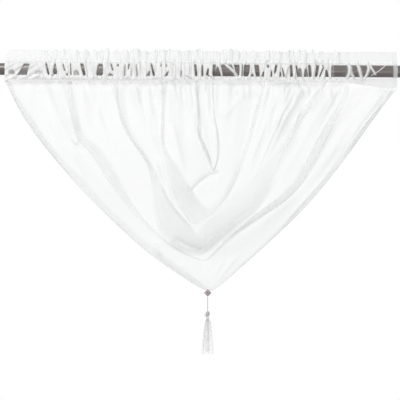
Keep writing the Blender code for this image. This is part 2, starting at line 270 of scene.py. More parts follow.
# Smaller creases. Each is (height in mm, reach to its left in mm, reach to its right in mm, points and, for
# some, the share of its length over which it keeps its height), with points in the photograph's pixels from
# top to bottom.
CREASES = [
    (8, 26, 13, [(60, 78), (65, 95), (68, 108), (72, 122), (77, 139)]),
    (3, 4, 4, [(73, 84), (75, 104), (78, 120), (80, 132)]),
    (4, 5, 8, [(72, 140), (78, 145)]),
    (3, 4, 5, [(73, 148), (79, 160), (84, 172), (91, 186)]),
    (3, 20, 7, [(78, 140), (90, 148), (100, 160), (109, 171), (122, 186), (138, 202), (152, 216)]),
    (3, 4, 3, [(96, 102), (100, 118), (104, 130), (108, 143)]),
    (3, 22, 8, [(108, 82), (113, 96), (118, 112), (121, 124), (128, 135), (135, 146), (143, 157),
        (150, 168), (156, 180)]),
    (7, 4, 14, [(155, 156), (162, 175), (168, 190), (175, 202)]),
    (6, 12, 4, [(132, 80), (137, 95), (140, 108), (144, 122), (149, 136)]),
    (5, 14, 12, [(148, 100), (152, 114), (156, 132), (159, 150)]),
    (3, 3, 3, [(154, 80), (154, 100)]),
    (3, 3, 3, [(157.5, 80), (158, 113)]),
    (4.5, 10, 6, [(163, 78), (162, 105), (161, 125), (161, 142), (164, 152), (170, 162), (178, 174)]),
    (6, 11, 6, [(171, 122), (175, 138), (178, 150), (181, 162), (187, 174)]),
    (4, 4, 4, [(171, 78), (174, 92), (178, 104)]),
    (4, 6, 5, [(176, 78), (180, 100), (181, 114)]),
    (3.5, 5, 4, [(188, 80), (190, 96), (192, 112)]),
    (2, 9, 5, [(195, 78), (197, 100), (197, 118), (197.5, 134), (202, 144), (208, 156)]),
    (2, 10, 5, [(206, 78), (210, 104), (212, 118), (216, 132), (217, 146), (216, 160)]),
    (2.5, 9, 6, [(240, 96), (230, 110), (219, 121)]),
    (3, 5, 4, [(236, 78), (235, 98)]),
    (4, 5, 4, [(241, 78), (242, 102)]),
    (4, 5, 4, [(247, 78), (248, 102)]),
    (4, 6, 3, [(253, 78), (255, 91), (260, 97)]),
    (-1.5, 4, 4, [(258, 98), (253, 112), (249, 126), (244, 140), (240, 154), (236, 166), (231, 180),
        (224, 192)]),
    (5, 13, 16, [(268, 80), (265, 96), (262, 110), (258, 124), (255, 140), (252, 156), (248, 172),
        (243, 186)]),
    (4, 8, 10, [(274, 82), (272, 100), (269, 118), (266, 140), (264, 160)]),
    (4, 8, 3, [(283, 78), (282, 98), (279, 112)]),
    (8, 16, 14, [(288, 82), (284, 100), (280, 112), (276, 126), (273, 142)]),
    (3, 8, 4, [(302, 98), (298, 112), (294, 126), (290, 138), (285, 149), (280, 159), (275, 170),
        (269, 182)]),
    (7, 11, 4, [(326, 78), (318, 93), (312, 104), (306, 118)]),
    (5, 6, 3, [(292, 80), (298, 89), (304, 98)]),
    (4, 5, 3, [(303, 80), (307, 92), (309, 99)]),
    (5, 9, 4, [(328, 78), (329, 94), (333, 110)]),
    (4, 6, 6, [(341, 78), (337, 100)]),
    (4, 20, 8, [(347, 78), (345, 96), (341, 108), (335, 120), (329, 132), (322, 146), (315, 160),
        (308, 172), (298, 186)]),
    (4, 12, 14, [(356, 106), (350, 118), (338, 138), (328, 156), (316, 174), (304, 190)]),
    (4, 6, 6, [(345, 148), (335, 160), (322, 178), (308, 194), (295, 209), (282, 223), (268, 236)]),
    (7, 3, 14, [(159, 181), (166, 194), (172, 204), (180, 214), (188, 224), (195, 235)]),
    (3, 10, 6, [(189, 225), (200, 221), (212, 217), (222, 210), (232, 203)]),
    (3, 4, 4, [(190, 258), (197, 271), (204, 286)]),
    (3, 4, 4, [(207, 262), (207.5, 286)]),
    (3, 4, 4, [(222, 260), (215, 274), (211, 287)]),
    (3, 4, 4, [(178, 260), (189, 272), (202, 287)]),
    (3, 4, 4, [(238, 254), (226, 268), (213, 287)]),
    (5, 3, 6, [(154, 240), (157, 250), (158.5, 258)]),
    (4, 7, 4, [(386, 96), (378, 108), (369, 120), (357, 136.5), (344, 154), (338, 162)]),
    (4, 22, 26, [(36, 84), (44, 104), (55, 122), (66, 140), (78, 156), (92, 172), (108, 188), (124, 204),
        (142, 221), (158, 234)]),
    (-4, 10, 8, [(282, 174), (273, 186), (265, 198), (253, 212), (239, 223), (225, 234), (211, 245),
        (200, 253)], 0.95),
    (-4, 8, 6, [(330, 130), (322, 147), (309, 170), (296, 190), (276, 207), (255, 222), (238, 232),
        (224, 241)], 0.8),
    (-4.5, 3, 4, [(194, 112), (196.5, 124), (199.5, 136), (204.5, 146), (209, 156), (212, 166)], 0.8),
    (-4, 3, 4, [(221, 172), (213, 174), (206, 177.5), (199, 182.5), (192, 189.5)], 0.9),
    (-4, 10, 6, [(172, 236), (182, 243), (192, 248), (200, 251)], 0.95),
    (8, 26, 20, [(352, 150), (338, 146), (322, 160), (308, 178), (292, 194), (276, 208), (258, 224),
        (242, 238)]),
]

# Where the cloth lies rolled or doubled on itself, so that less shows through it, and where its folds lie
# in shade, which is painted here as more layers: partly real doubled cloth, partly painted shade. Each is
# (layers more, reach to its left in mm, reach to its right in mm, points), and ends as a crease does.
DOUBLED_AND_PAINTED_SHADE = [
    (0.45, 30, 30, [(30, 84), (48, 110), (70, 145), (96, 172), (122, 200), (150, 226)]),
    (1.00, 26, 26, [(28, 82), (38, 108), (50, 134), (62, 156), (70, 168)]),
    (1.00, 12, 12, [(209, 100), (210, 112), (211, 130), (214, 150), (216, 165), (215, 190), (214, 210)]),
    (1.20, 40, 40, [(200, 130), (208, 155), (216, 176), (224, 194), (228, 204)]),
    (3.00, 4, 6, [(222, 171), (213, 172), (205, 175), (198, 180), (192, 187), (189, 193)], 0.9),
    (4.00, 3, 3, [(194, 106), (196.5, 122), (199, 138), (203.5, 147), (208.5, 158), (212.5, 169)], 0.95),
    (1.00, 14, 8, [(122, 108), (130, 124), (139, 142), (148, 160), (156, 178), (162, 190)]),
    (1.50, 8, 8, [(287, 80), (284, 100), (280, 120), (276, 138), (273, 150)]),
    (2.50, 5, 5, [(378, 84), (384, 86), (389, 88), (392, 92), (389, 98), (384, 106)]),
    (0.90, 22, 22, [(290, 80), (284, 108), (277, 130), (272, 150), (268, 164)]),
    (0.80, 30, 30, [(340, 100), (325, 128), (312, 150), (298, 175), (280, 200), (262, 218), (240, 234)]),
    (1.90, 14, 14, [(300, 190), (284, 206), (268, 220), (250, 234), (236, 244), (222, 253), (208, 262),
        (200, 268)]),
    (2.50, 8, 8, [(168, 240), (177, 243), (187, 246), (198, 247), (207, 243), (216, 236), (226, 228)]),
    (2.50, 5, 4, [(240, 219), (228, 230), (218, 238), (208, 246), (201, 252), (195, 259)]),
    (1.20, 4, 3, [(272, 188), (264, 198), (252, 211), (238, 222), (224, 233), (211, 244), (202, 252),
        (193, 258)]),
    (1.20, 16, 16, [(262, 216), (250, 226), (236, 238), (222, 248), (212, 256), (204, 262)]),
    (0.80, 5, 5, [(149, 252), (157, 258), (169, 267), (182, 276), (194, 285), (204, 292), (211, 296)]),
    (1.20, 4, 4, [(386, 96), (378, 108), (369, 120), (357, 136), (346, 152), (338, 162)]),
]

# The dark windows between the gathers, where one layer of cloth lies on the pole, in the photograph's
# pixels. Each is (x and y of its top, x and y of its bottom, its width at both, how clear it is).
WINDOWS = [
    (11, 70, 12, 75, 5, 7, 0.55),
    (27, 64, 22, 75.5, 5, 9, 0.8),
    (40, 71, 38, 75, 5, 8, 0.4),
    (45.8, 63, 48.6, 75.5, 1.6, 1.8, 1),
    (54.8, 64, 55, 75, 0.8, 4.6, 0.9),
    (52.5, 75, 53, 77.5, 2, 2, 0.8),
    (62.8, 64, 64.8, 72, 1, 1.4, 0.8),
    (67, 74, 67, 76.5, 1.8, 1.8, 0.7),
    (70.5, 63, 70.8, 76, 0.9, 1.1, 0.8),
    (76, 71, 76.5, 76.5, 3.5, 6, 0.55),
    (81.3, 63.5, 84.3, 76.5, 3.2, 2.2, 1),
    (91, 60, 90, 66, 1.2, 1.5, 0.25),
    (100.3, 64, 99, 77, 4.5, 7, 0.85),
    (110, 62.5, 112.6, 71.5, 1.3, 1.6, 0.9),
    (110, 74, 110, 77.5, 2.5, 6, 0.75),
    (117.5, 64.5, 117.5, 67.5, 2, 2, 0.7),
    (124.8, 65, 124, 77, 1, 1.5, 0.6),
    (129, 63.5, 128, 70, 1.2, 1.2, 0.8),
    (131.8, 62, 131, 78, 0.8, 1, 0.4),
    (136, 65, 137, 80, 1, 1.4, 0.6),
    (149, 71.5, 147, 78, 1.2, 3.5, 0.75),
    (150.4, 63, 153.6, 77.5, 1.7, 2, 1),
    (161, 62, 160.4, 68, 1.2, 1, 0.7),
    (165.6, 62, 165.8, 68, 1.4, 1.4, 0.7),
    (167.5, 72, 164.5, 78, 1.6, 3, 0.75),
    (174.5, 60, 172.5, 66, 1, 1, 0.4),
    (180.3, 71, 180.8, 80, 1.2, 1.8, 0.6),
    (184, 76, 191, 80, 1.4, 1.6, 0.5),
    (194.2, 61, 195.6, 77.5, 1.5, 2.4, 0.95),
    (201.5, 65.5, 201.6, 78, 1.4, 2, 0.9),
    (207.4, 69, 206.3, 75.5, 1.2, 2.4, 1),
    (206.5, 75, 211.5, 80, 2, 1.6, 0.95),
    (213.8, 62.5, 212.8, 77, 2.6, 2.9, 1),
    (216.6, 67, 217, 79, 1, 7.9, 0.95),
    (225, 64, 229, 77.5, 9.9, 13.8, 0.95),
    (235.8, 63.5, 236.8, 77.5, 5.5, 2.6, 1),
    (241.5, 63, 241, 78, 1, 1.1, 0.85),
    (246.5, 63.5, 244.8, 77.5, 5.5, 5.5, 0.95),
    (251.2, 74.5, 251.5, 78.5, 1.7, 3.3, 0.9),
    (255.4, 63.5, 257, 78.5, 3.9, 3.7, 1),
    (262.6, 72, 261, 79.5, 1.1, 2.9, 0.9),
    (266.8, 61, 267, 69, 2.4, 1.8, 0.9),
    (275.7, 63.5, 273.6, 74, 1.8, 2.2, 0.95),
    (270.6, 71, 270, 80, 1.1, 1.8, 0.85),
    (279, 72, 279.5, 79, 1.3, 2, 0.85),
    (281, 68, 283.5, 80, 1, 1.8, 0.85),
    (289.7, 61, 290.5, 81, 1.5, 2.9, 0.95),
    (295, 66, 297, 77, 1.5, 2, 0.92),
    (298.5, 69, 298.5, 82, 3, 5.2, 0.78),
    (304.5, 69, 305, 82, 2.5, 5.2, 0.78),
    (308, 64.5, 309, 78, 2.5, 2.8, 0.95),
    (317.2, 62.5, 314.6, 78, 2.1, 2.8, 1),
    (321, 61.5, 321.5, 67, 1.2, 1.5, 0.92),
    (322.5, 67, 318, 78, 1.2, 1.2, 0.92),
    (324.8, 70, 326.3, 81, 1.8, 3.5, 0.92),
    (330.8, 66, 331.8, 80, 1.8, 3.8, 0.78),
    (339.5, 64.5, 342.5, 78.5, 15, 19.4, 0.95),
    (353, 64.5, 356.3, 79.5, 3.6, 5.4, 1),
    (362, 64.5, 363, 79.5, 4.4, 5.2, 0.85),
    (379.6, 64.5, 379.8, 79, 23.5, 24, 0.97),
]

# White strands of cloth that cross the windows: (reach in pixels, height in mm, points)
STRANDS = [
    (0.9, 3.0, [(224, 64), (229, 68.5), (234, 73.5), (238, 80)]),
    (1.1, 3.5, [(346.5, 62), (348.6, 68), (348.4, 73), (346, 79)]),
    (0.8, 2.5, [(348.6, 71), (351, 75.5), (354, 81)]),
    (0.9, 3.5, [(356, 62), (358, 70), (361, 81)]),
    (0.8, 3.0, [(366.5, 62), (367.4, 69), (366, 74), (363, 80)]),
    (0.6, 2.0, [(368.5, 64), (370.2, 69), (374, 75)]),
    (0.5, 0.8, [(384, 66), (378, 71), (370, 76)]),
]

# Places in the photograph's pixels: the middle of the gathered cloth and most of its reach to each side,
# the columns over which the soft folds at the left end fade and over which the flat cloth at the right
# begins, the pocket's top, middle and end, and the row above which strokes start at the seam
CLOTH_MIDDLE = 195.0
CLOTH_REACH = 150.0
LEFT_FOLDS = (34.0, 50.0)
RIGHT_FLAT = (333.0, 346.0)
POCKET_TOP = 63.0
POCKET_MIDDLE = 71.5
POCKET_END = 80.0
SEAM_ROW = 84.0

# How finely the cloth is drawn
PANEL_ROWS = 400
PANEL_STEPS = 118
HEADER_COLUMNS = 1240
POCKET_ROWS = 34
FRILL_ROWS = 20
BACK_ROWS = 8

STEP_SHARES = np.linspace(0.0, 1.0, PANEL_STEPS + 1) ** 1.2
CURVE_STEPS = 40
MELT_STEPS = (0.0, 0.33, 0.66, 0.93)

# Lamps: name, place, aim, side in metres and watts
LAMPS = [
    ("key", (-1.0, -2.1, 1.8), (0.0, 0.0, -0.2), 1.4, 58.0),
    ("fill", (0.6, -3.0, -0.75), (0.0, 0.0, -0.1), 1.0, 12.0),
]
ROOM_LIGHT = 0.44
FLOOR_REACH = 14.0
FLOOR_BACK = 3.4
FLOOR_SHADE = 0.92
FLOOR_WHITE = 0.8

# The pole's grain
WOOD_DARK = (0.070, 0.055, 0.050, 1.0)
WOOD_LIGHT = (0.130, 0.106, 0.096, 1.0)

# Yarns: colour, roughness, share of the light that comes through, how fine its uneven tone is and how loose
# it lies
YARNS = {
    "patch": ((0.46, 0.40, 0.41), 0.8, 0.05, 900.0, 0.0),
    "cord": ((0.62, 0.61, 0.63), 0.7, 0.15, 1500.0, 0.0),
    "bead": ((0.62, 0.61, 0.64), 0.6, 0.15, 1500.0, 0.0),
    "white_yarn": ((0.95, 0.94, 0.96), 0.4, 0.4, 1200.0, 0.0),
    "sewing_thread": ((0.98, 0.98, 0.97), 0.6, 0.3, 2000.0, 0.7),
    "silky_strands": ((0.99, 0.98, 1.0), 0.4, 0.5, 1200.0, 0.72),
}

# Cloth: how much of the view one layer lets through, how little a layer counts where the weave is thinnest
# and how much more it may count, and the fewest layers that are left anywhere
CLEAR_SHARE = 0.59
THINNEST = 0.88
UNEVEN = 0.24
LEAST_LAYERS = 0.03
LIT_FROM_BEHIND = 0.25
TIGHT_LAYERS = 1.00
GATHER_SEED = 11
GATHER_PITCH = 6.2
GATHER_SPAN = (44.0, 346.0)
GATHER_STAND = 0.0055
GATHER_AT_SEAM = 0.8
PACKED_LAYERS = 15.0
HEM_LAYERS = 2.0
# The back rows of the frill and the pocket count fewer layers than they have: painted light that lifts
# their shade
FRILL_BACK_PAINTED_LIGHT_LAYERS = -0.4
POCKET_BACK_PAINTED_LIGHT_LAYERS = -0.6
# Where many layers are packed, the cloth's colour is painted whiter towards the second colour: painted
# light for the light that passes between the layers
PAINTED_WHITENING_LAYERS = 6.0
CLOTH_COLOUR = (0.865, 0.88, 0.875, 1.0)
PACKED_PAINTED_LIGHT_COLOUR = (0.99, 0.99, 0.985, 1.0)
HEM_WIDTH = 0.0028
TURN_THICKNESS = 0.003
STROKE_ROUND = 0.0012
STROKE_KEEPS = 0.62
STITCH_PITCH = 0.0042
STITCH_LENGTH = 0.0030
STITCH_RADIUS = 0.00015
HEM_STITCH = 0.9
CREASE_SCALE = 1.7
PLEATS_A_SIDE = 34


def ease(value, start, end):
    """A smooth step from 0 at start to 1 at end."""
    share = np.clip((value - start) / (end - start), 0.0, 1.0)
    return share * share * (3.0 - 2.0 * share)


def catmull(a, b, c, d, t):
    """A point between b and c on the smooth curve through a, b, c and d."""
    straight = (c - a) * t
    bend = (2 * a - 5 * b + 4 * c - d) * t * t
    twist = (3 * b - a - 3 * c + d) * t * t * t
    return 0.5 * (2 * b + straight + bend + twist)


def even_run(points, count):
    """Count points, evenly spaced or at given shares, along the smooth curve through a few points."""
    known = np.array(points, dtype=float)
    known = np.vstack([2 * known[0] - known[1], known, 2 * known[-1] - known[-2]])
    fine = [
        catmull(known[k], known[k + 1], known[k + 2], known[k + 3], t)
        for k in range(len(known) - 3)
        for t in np.linspace(0.0, 1.0, CURVE_STEPS, endpoint=False)
    ]
    fine = np.array(fine + [known[-2]])
    walked = np.concatenate([[0.0], np.cumsum(np.linalg.norm(np.diff(fine, axis=0), axis=1))])
    shares = np.linspace(0.0, 1.0, count) if np.isscalar(count) else count
    return np.column_stack([np.interp(shares * walked[-1], walked, fine[:, axis]) for axis in (0, 1)])


def line_runs(side):
    """Every line's path on one side, in metres of X and Z, from the seam to the middle of the swag."""
    runs = []
    for line in LINES:
        path = from_photo(line[side])
        path[0, 1] = SEAM_Z
        runs.append(even_run(path, STEP_SHARES))
    return np.array(runs)


def hermite(values, slope, low, width, t):
    """The smooth curve from each low value to the next one, with the slopes given there."""
    return (
        values[low] * (1 + 2 * t) * (1 - t) ** 2
        + slope[low] * width * t * (1 - t) ** 2
        + values[low + 1] * t * t * (3 - 2 * t)
        + slope[low + 1] * width * t * t * (t - 1)
    )


def between_lines(runs, knots, wanted):
    """Points between the lines at places across the sheet, which slows down where it turns at a line."""
    low = np.clip(np.searchsorted(knots, wanted, side="right") - 1, 0, len(knots) - 2)
    t = ((wanted - knots[low]) / (knots[low + 1] - knots[low]))[:, None]
    slope = np.zeros_like(runs)
    ahead = np.diff(runs, axis=0) / np.diff(knots)[:, None, None]
    straight = np.sum(ahead[:-1] * ahead[1:], axis=2, keepdims=True) > 0
    slope[1:-1] = np.where(straight, 0.5 * (ahead[:-1] + ahead[1:]), 0.0)
    slope[0] = ahead[0]
    slope[-1] = ahead[-1]
    t = t[..., None]
    width = (knots[low + 1] - knots[low])[:, None, None]
    return hermite(runs, slope, low, width, t)


def monotone_curve(knots, values, wanted):
    """A curve through the values that never swings past them."""
    rise = np.diff(values, axis=0) / np.diff(knots)[:, None]
    slope = np.zeros_like(values)
    same = rise[:-1] * rise[1:] > 0
    total = np.where(same, rise[:-1] + rise[1:], 1.0)
    slope[1:-1] = np.where(same, 2 * rise[:-1] * rise[1:] / total, 0.0)
    low = np.clip(np.searchsorted(knots, wanted, side="right") - 1, 0, len(knots) - 2)
    width = (knots[low + 1] - knots[low])[:, None]
    t = (wanted - knots[low])[:, None] / width
    return hermite(values, slope, low, width, t)


def grow(trio, step):
    """A value that goes from its size at the seam, through a third of the way, to the swag's middle."""
    first = trio[0] + (trio[1] - trio[0]) * ease(step, 0.02, 0.34)
    return first + (trio[2] - trio[1]) * ease(step, 0.34, 0.88)


def from_photo(pixels):
    """Metres of X and Z for points in the photograph's pixels."""
    across = np.asarray(pixels, dtype=float) - np.array(PHOTO_CENTRE)
    turn = math.tan(PHOTO_ROLL)
    return PIXEL * np.column_stack([across[:, 0] + turn * across[:, 1], turn * across[:, 0] - across[:, 1]])


def stroke_field(x, z, strokes):
    """Soft strokes along lines in the photograph's pixels, added up at points in metres. Each stroke is
    (strength, reach to its left in mm, reach to its right in mm, points), and may say how far down it keeps
    its strength."""
    spots = np.stack([x, z], axis=-1).reshape(-1, 2)
    total = np.zeros(len(spots))
    for strength, left, right, pixels, *keeps in strokes:
        from_seam = pixels[0][1] < SEAM_ROW
        line = even_run(from_photo(pixels), CURVE_STEPS)
        if from_seam:
            line = np.vstack([line[0] + np.array([0.0, 0.012]), line])
        ahead = np.gradient(line, axis=0)
        ahead /= np.linalg.norm(ahead, axis=1)[:, None]
        away = spots[:, None, :] - line[None, :, :]
        far = (away**2).sum(axis=2)
        near = far.argmin(axis=1)
        gap = away[np.arange(len(spots)), near]
        along = ahead[near]
        side = along[:, 0] * gap[:, 1] - along[:, 1] * gap[:, 0]
        reach = np.where(side > 0, right, left) / 1000
        distance = np.sqrt(far[np.arange(len(spots)), near] + STROKE_ROUND**2) - STROKE_ROUND
        share = near / (len(line) - 1)
        start = 1.0 if from_seam else ease(share, -0.02, 0.25)
        end = keeps[0] if keeps else STROKE_KEEPS
        total += strength * np.exp(-distance / reach) * start * (1 - ease(share, end, end + 0.38))
    return total.reshape(x.shape)


def to_photo(x, z):
    """The photograph's pixels for points in metres."""
    turn = math.tan(PHOTO_ROLL)
    across, up = np.asarray(x) / PIXEL, np.asarray(z) / PIXEL
    return PHOTO_CENTRE[0] + across + turn * up, PHOTO_CENTRE[1] - up + turn * across


def make_gathers():
    """The gathers along the pole: where each lies, how far it stands out, how wide and how long it is."""
    rng = random.Random(GATHER_SEED)
    gathers = []
    spot = GATHER_SPAN[0]
    while spot < GATHER_SPAN[1]:
        middle = (spot - CLOTH_MIDDLE) / CLOTH_REACH
        gathers.append(
            {
                "x": spot,
                "stand": GATHER_STAND * rng.uniform(0.35, 1.25),
                "width": rng.uniform(0.9, 2.4),
                "down": rng.uniform(6.0, 34.0),
                "up": rng.uniform(6.0, 22.0),
                "slant": -0.24 * middle + rng.uniform(-0.22, 0.22),
                "fan": 0.35 * middle + rng.uniform(-0.10, 0.10),
            }
        )
        spot += GATHER_PITCH * rng.uniform(0.5, 1.5)
    return gathers


GATHERS = make_gathers()


def gather_field(px, py):
    """How far the gathers stand out, in metres, at points in the photograph's pixels."""
    total = np.zeros(np.broadcast(px, py).shape)
    below = np.maximum(py - POCKET_END, 0.0)
    above = np.maximum(POCKET_TOP - py, 0.0)
    inside = np.clip(py, POCKET_TOP, POCKET_END) - POCKET_MIDDLE
    for g in GATHERS:
        centre = g["x"] + g["slant"] * inside - g["fan"] * below - 0.5 * g["fan"] * above
        width = g["width"] * (1.0 + below / 14.0 + above / 16.0)
        fade = np.exp(-((below / g["down"]) ** 1.2)) * np.exp(-((above / (2.2 * g["up"])) ** 2))
        away = (px - centre) / width
        total = total + g["stand"] * fade / (1.0 + away**4)
    return total


def fine_folds(px, py):
    """Narrow uneven ridges, from 0 to 1, that run up and down through the bunched cloth."""
    lean = px + 0.25 * ((px - CLOTH_MIDDLE) / CLOTH_REACH) * (py - POCKET_MIDDLE)
    slow = np.sin(lean * 0.37 + 0.9 * np.sin(py * 0.21 + lean * 0.05))
    wide = np.sin(lean * 1.05 + 1.3 * slow + 0.5 * np.sin(py * 0.33))
    thin = np.sin(lean * 2.35 + 1.7 * slow + 0.35 * np.sin(py * 0.5 + lean * 0.2))
    return 0.5 + 0.3 * wide + 0.2 * thin


def window_field(px, py):
    """How much the cloth lies flat and single on the pole, from 0 to 1."""
    flat = np.zeros(np.broadcast(px, py).shape)
    for x0, y0, x1, y1, w0, w1, clear in WINDOWS:
        share = np.clip((py - y0) / (y1 - y0), 0.0, 1.0)
        rounded = np.sqrt(1.0 - np.abs(2 * share - 1) ** 4) if max(w0, w1) < 9 else 1.0
        edge = np.abs(px - (x0 + (x1 - x0) * share)) - 0.5 * (w0 + (w1 - w0) * share) * rounded
        soft = 0.9 if max(w0, w1) > 3 else 0.6
        inside = 1.0 - ease(edge, -0.35 * soft, soft)
        inside = inside * ease(py, y0 - 1.0, y0 + 0.6) * (1.0 - ease(py, y1 - 0.6, y1 + 1.0))
        flat = np.maximum(flat, clear * inside)
    return flat


def strand_field(px, py):
    """The white strands over the windows: their height in metres and their cover from 0 to 1."""
    height = np.zeros(np.broadcast(px, py).shape)
    cover = np.zeros_like(height)
    for reach, rise, points in STRANDS:
        line = np.array(points, dtype=float)
        centre = np.interp(py, line[:, 1], line[:, 0])
        seen = ease(py, line[0, 1] - 1, line[0, 1] + 1) * (1 - ease(py, line[-1, 1] - 1, line[-1, 1] + 1))
        bump = seen / (1.0 + ((px - centre) / reach) ** 4)
        height = np.maximum(height, rise / 1000 * bump)
        cover = np.maximum(cover, bump * min(1.0, rise / 2.5))
    return height, cover


def end_folds(px, py):
    """The diagonal soft folds at the left end of the pocket."""
    along = px + 1.6 * (py - 71.0)
    wave = 0.5 + 0.5 * np.sin(along * 2 * math.pi / 11.0 + 0.8)
    return wave * (1 - ease(px, *LEFT_FOLDS))


def bunched(px, py):
    """How far the pocket's cloth stands out, in metres, and how many more layers are packed there; along
    the seam fewer layers are set, as painted light that lifts the shade.
    """
    flat = window_field(px, py)
    strands, cover = strand_field(px, py)
    loose = 1.0 - flat
    at_right = ease(px, *RIGHT_FLAT)
    at_left = 1 - ease(px, *LEFT_FOLDS)
    ridges = fine_folds(px, py)
    stand = 0.0022 + 0.0034 * ridges + GATHER_AT_SEAM * gather_field(px, py)
    stand = stand * (1 - 0.6 * at_left) + 0.0030 * end_folds(px, py)
    stand = stand * (1 - at_right)
    in_pocket = ease(py, 59.5, 64.0) * (1 - ease(py, 76.0, 81.0))
    height = loose * stand + strands
    full = PACKED_LAYERS * (0.35 + 0.65 * ridges) * loose**2.5
    layers = full * in_pocket * (1 - at_right) * (1 - 0.25 * at_left)
    layers = layers - TIGHT_LAYERS * np.maximum(flat, at_right) * in_pocket
    # Painted light: fewer layers along the seam lift the shade that falls there
    layers = layers - 0.70 * ease(py, 76.0, 78.5) * (1 - 0.2 * ease(py, 79.5, 81.0))
    layers = layers + (PACKED_LAYERS - layers) * cover * in_pocket
    frill = 1 - ease(py, 58.0, 64.0)
    layers = layers + frill * (0.7 * gather_field(px, py) / GATHER_STAND - 0.15 - 0.35 * at_left)
    below = ease(py, 79.0, 83.0)
    layers = layers + below * 1.2 * gather_field(px, py) / GATHER_STAND
    strip = ease(px, 338.0, 356.0) * ease(py, 78.0, 79.5) * (py < 90)
    layers = layers + 0.9 * strip
    left_hem = 1 - ease(px, 6.0, 8.5)
    right_hem = ease(px, 391.0, 393.0)
    layers = layers + (py < SEAM_ROW) * (left_hem * PACKED_LAYERS * 0.6 + right_hem * HEM_LAYERS)
    return height, layers


def seam_sag(x):
    """The seam hangs a little lower towards the free ends."""
    return 0.0125 * ease(x, 0.30, 0.448) ** 1.4 + 0.004 * ease(-x, 0.40, 0.456)


def seam_depth(x):
    """How far the seam stands towards the viewer, in metres."""
    px, _ = to_photo(x, np.full_like(x, SEAM_Z))
    gathered = gather_field(px, np.full_like(px, POCKET_END))
    return LAYER_GAP / 2 + GATHER_AT_SEAM * gathered + small_ripple(x, np.zeros_like(x))


def small_ripple(along, fallen):
    """Soft long pleats between the gathers, which fade down the panel."""
    fallen = np.maximum(fallen, 0.0)
    wave = np.sin(along * 2 * math.pi / 0.031 + 2.0 * np.sin(along * 31.0))
    slow = np.sin(along * 2 * math.pi / 0.067 + 1.7)
    flat_end = ease(np.abs(along), HUNG_WIDTH / 2, 0.80 * HUNG_WIDTH / 2)
    return flat_end * (0.0012 * wave * np.exp(-fallen / 0.06) + 0.0020 * slow * np.exp(-fallen / 0.13))


def make_pleats(side):
    """Soft pleats from the seam along the folds: place on the sheet, height, width and length."""
    rng = random.Random(GATHER_SEED + (5 if side == "left" else 6))
    total = sheet_knots()[-1]
    return [
        (
            total * (number + rng.uniform(0.1, 0.9)) / PLEATS_A_SIDE,
            rng.uniform(0.003, 0.010) * rng.choice((1, 1, -0.8)),
            rng.uniform(0.05, 0.14),
            rng.uniform(0.15, 0.70),
        )
        for number in range(PLEATS_A_SIDE)
    ]


def sheet_knots():
    """The places of the lines across the sheet."""
    spans = [line["span"] for line in LINES[:-1]]
    return np.concatenate([[0.0], np.cumsum(spans)])


def melted(side, sheet, step):
    """How much of a layer's cover fades away round the soft edges of the overlaps, from 0 to 1."""
    faded = np.zeros((len(sheet), step.shape[1]))
    knots = sheet_knots()
    for number, line in enumerate(LINES):
        if "melt_" + side not in line:
            continue
        edge, strengths = line["melt_" + side]
        strength = np.interp(step[0], MELT_STEPS, strengths)[None, :]
        front, back = knots[number], knots[number + 1]
        if edge == "outer":
            across = np.where(
                sheet < front,
                1 - ease(front - sheet, 0.0, 0.62),
                1 - ease(sheet, front + 0.15 * (back - front), back - 0.05),
            )
        else:
            across = np.where(
                sheet < back,
                ease(sheet, front + 0.05, front + 0.75 * (back - front)),
                1 - ease(sheet - back, 0.22, 0.62),
            )
        faded = np.maximum(faded, across[:, None] * strength)
        strength = np.interp(step[0], MELT_STEPS, line["thin"])[None, :]
        under = ease(sheet, front - 0.12, front + 0.08) * (1 - ease(sheet, back - 0.08, back + 0.12))
        faded = np.maximum(faded, under[:, None] * strength)
    return faded


def panel_grid(side, sheet):
    """The hanging panel on one side: points for each place across the sheet and each step down."""
    step = STEP_SHARES[None, :]
    knots = sheet_knots()
    points = between_lines(line_runs(side), knots, sheet)
    depth_knots, heights = [], []
    for line, knot in zip(LINES, knots):
        height = grow(np.array(line["depth"]) / 1000, step)
        if line["name"].endswith("front"):
            depth_knots += [knot - 0.10, knot + 0.06]
            heights += [height, height - TURN_THICKNESS * ease(step, 0.0, 0.3)]
        elif line["name"].endswith("back"):
            depth_knots += [knot - 0.06, knot + 0.06]
            heights += [height + 0.3 * TURN_THICKNESS * ease(step, 0.0, 0.3), height]
        else:
            depth_knots.append(knot)
            heights.append(height)
    height = monotone_curve(np.array(depth_knots), np.concatenate(heights), sheet)
    x, z = points[..., 0], points[..., 1]
    drop = np.maximum(SEAM_Z - z, 0.0)
    fallen = np.clip(drop / PANEL_DROP, 0.0, 1.0)
    bulge = BELLY * np.square(4 * fallen * (1 - fallen)) * ease(step, 0.0, 0.3)
    started = ease(drop, 0.0, 0.02)
    px, py = to_photo(x, z)
    gathered = gather_field(px, np.maximum(py, POCKET_END))
    relief = CREASE_SCALE / 1000 * stroke_field(x, z, CREASES) * started
    for spot, rise, width, length in make_pleats(side):
        across = np.exp(-np.abs((sheet[:, None] - spot) / width) ** 1.5)
        relief = relief + rise * across * ease(step, 0.0, 0.06) * (1 - ease(step, 0.35 * length, length))
    depth = -LAYER_GAP / 2 - height * (0.25 + 0.75 * started) - bulge
    depth = depth - GATHER_AT_SEAM * gathered - small_ripple(x, drop) - relief
    sag = seam_sag(x) * np.exp(-drop / 0.05)
    # Strokes of real doubled cloth and of painted shade add to the layers
    layers = 0.9 * gathered / GATHER_STAND - melted(side, sheet, step) + stroke_field(x, z, DOUBLED_AND_PAINTED_SHADE)
    # Painted light: fewer layers at the top of the panel lift the shade under the header
    layers = layers - 0.4 * (1 - ease(drop, 0.002, 0.012))
    return np.stack([x, depth, z - sag], axis=-1), layers


